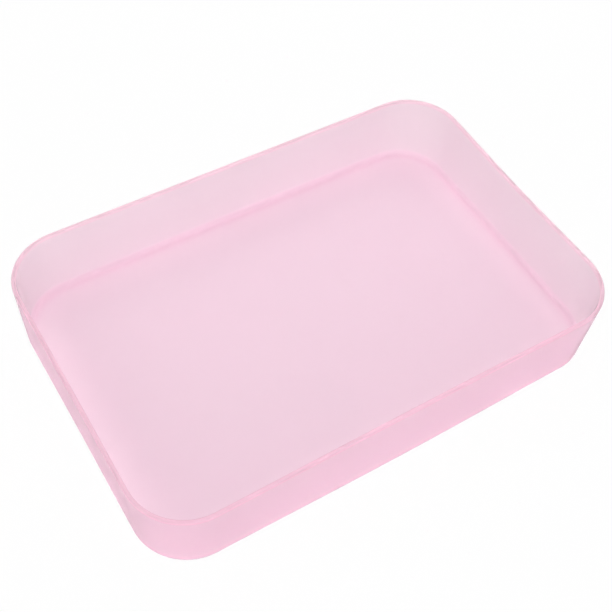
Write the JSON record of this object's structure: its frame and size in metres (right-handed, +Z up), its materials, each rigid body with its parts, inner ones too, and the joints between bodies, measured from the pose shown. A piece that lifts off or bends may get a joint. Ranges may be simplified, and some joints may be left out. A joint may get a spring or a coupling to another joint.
{
  "type": "slab mould tray",
  "caption": "Shallow open rectangular tray with rounded corners, leaning walls and a thin rim, a plain moulding in frosted translucent flexible material for casting soap slabs.",
  "frame": {"origin": "middle of the flat underside", "axes": "+X along the length of the rim, +Y across its width, +Z up out of the open mouth"},
  "size_m": [0.25, 0.167, 0.04],
  "materials": {
    "frosted_pink": "frosted translucent pink, soft satin"
  },
  "bodies": {
    "root": {"mould_tray": "frosted_pink"}
  },
  "joints": []
}
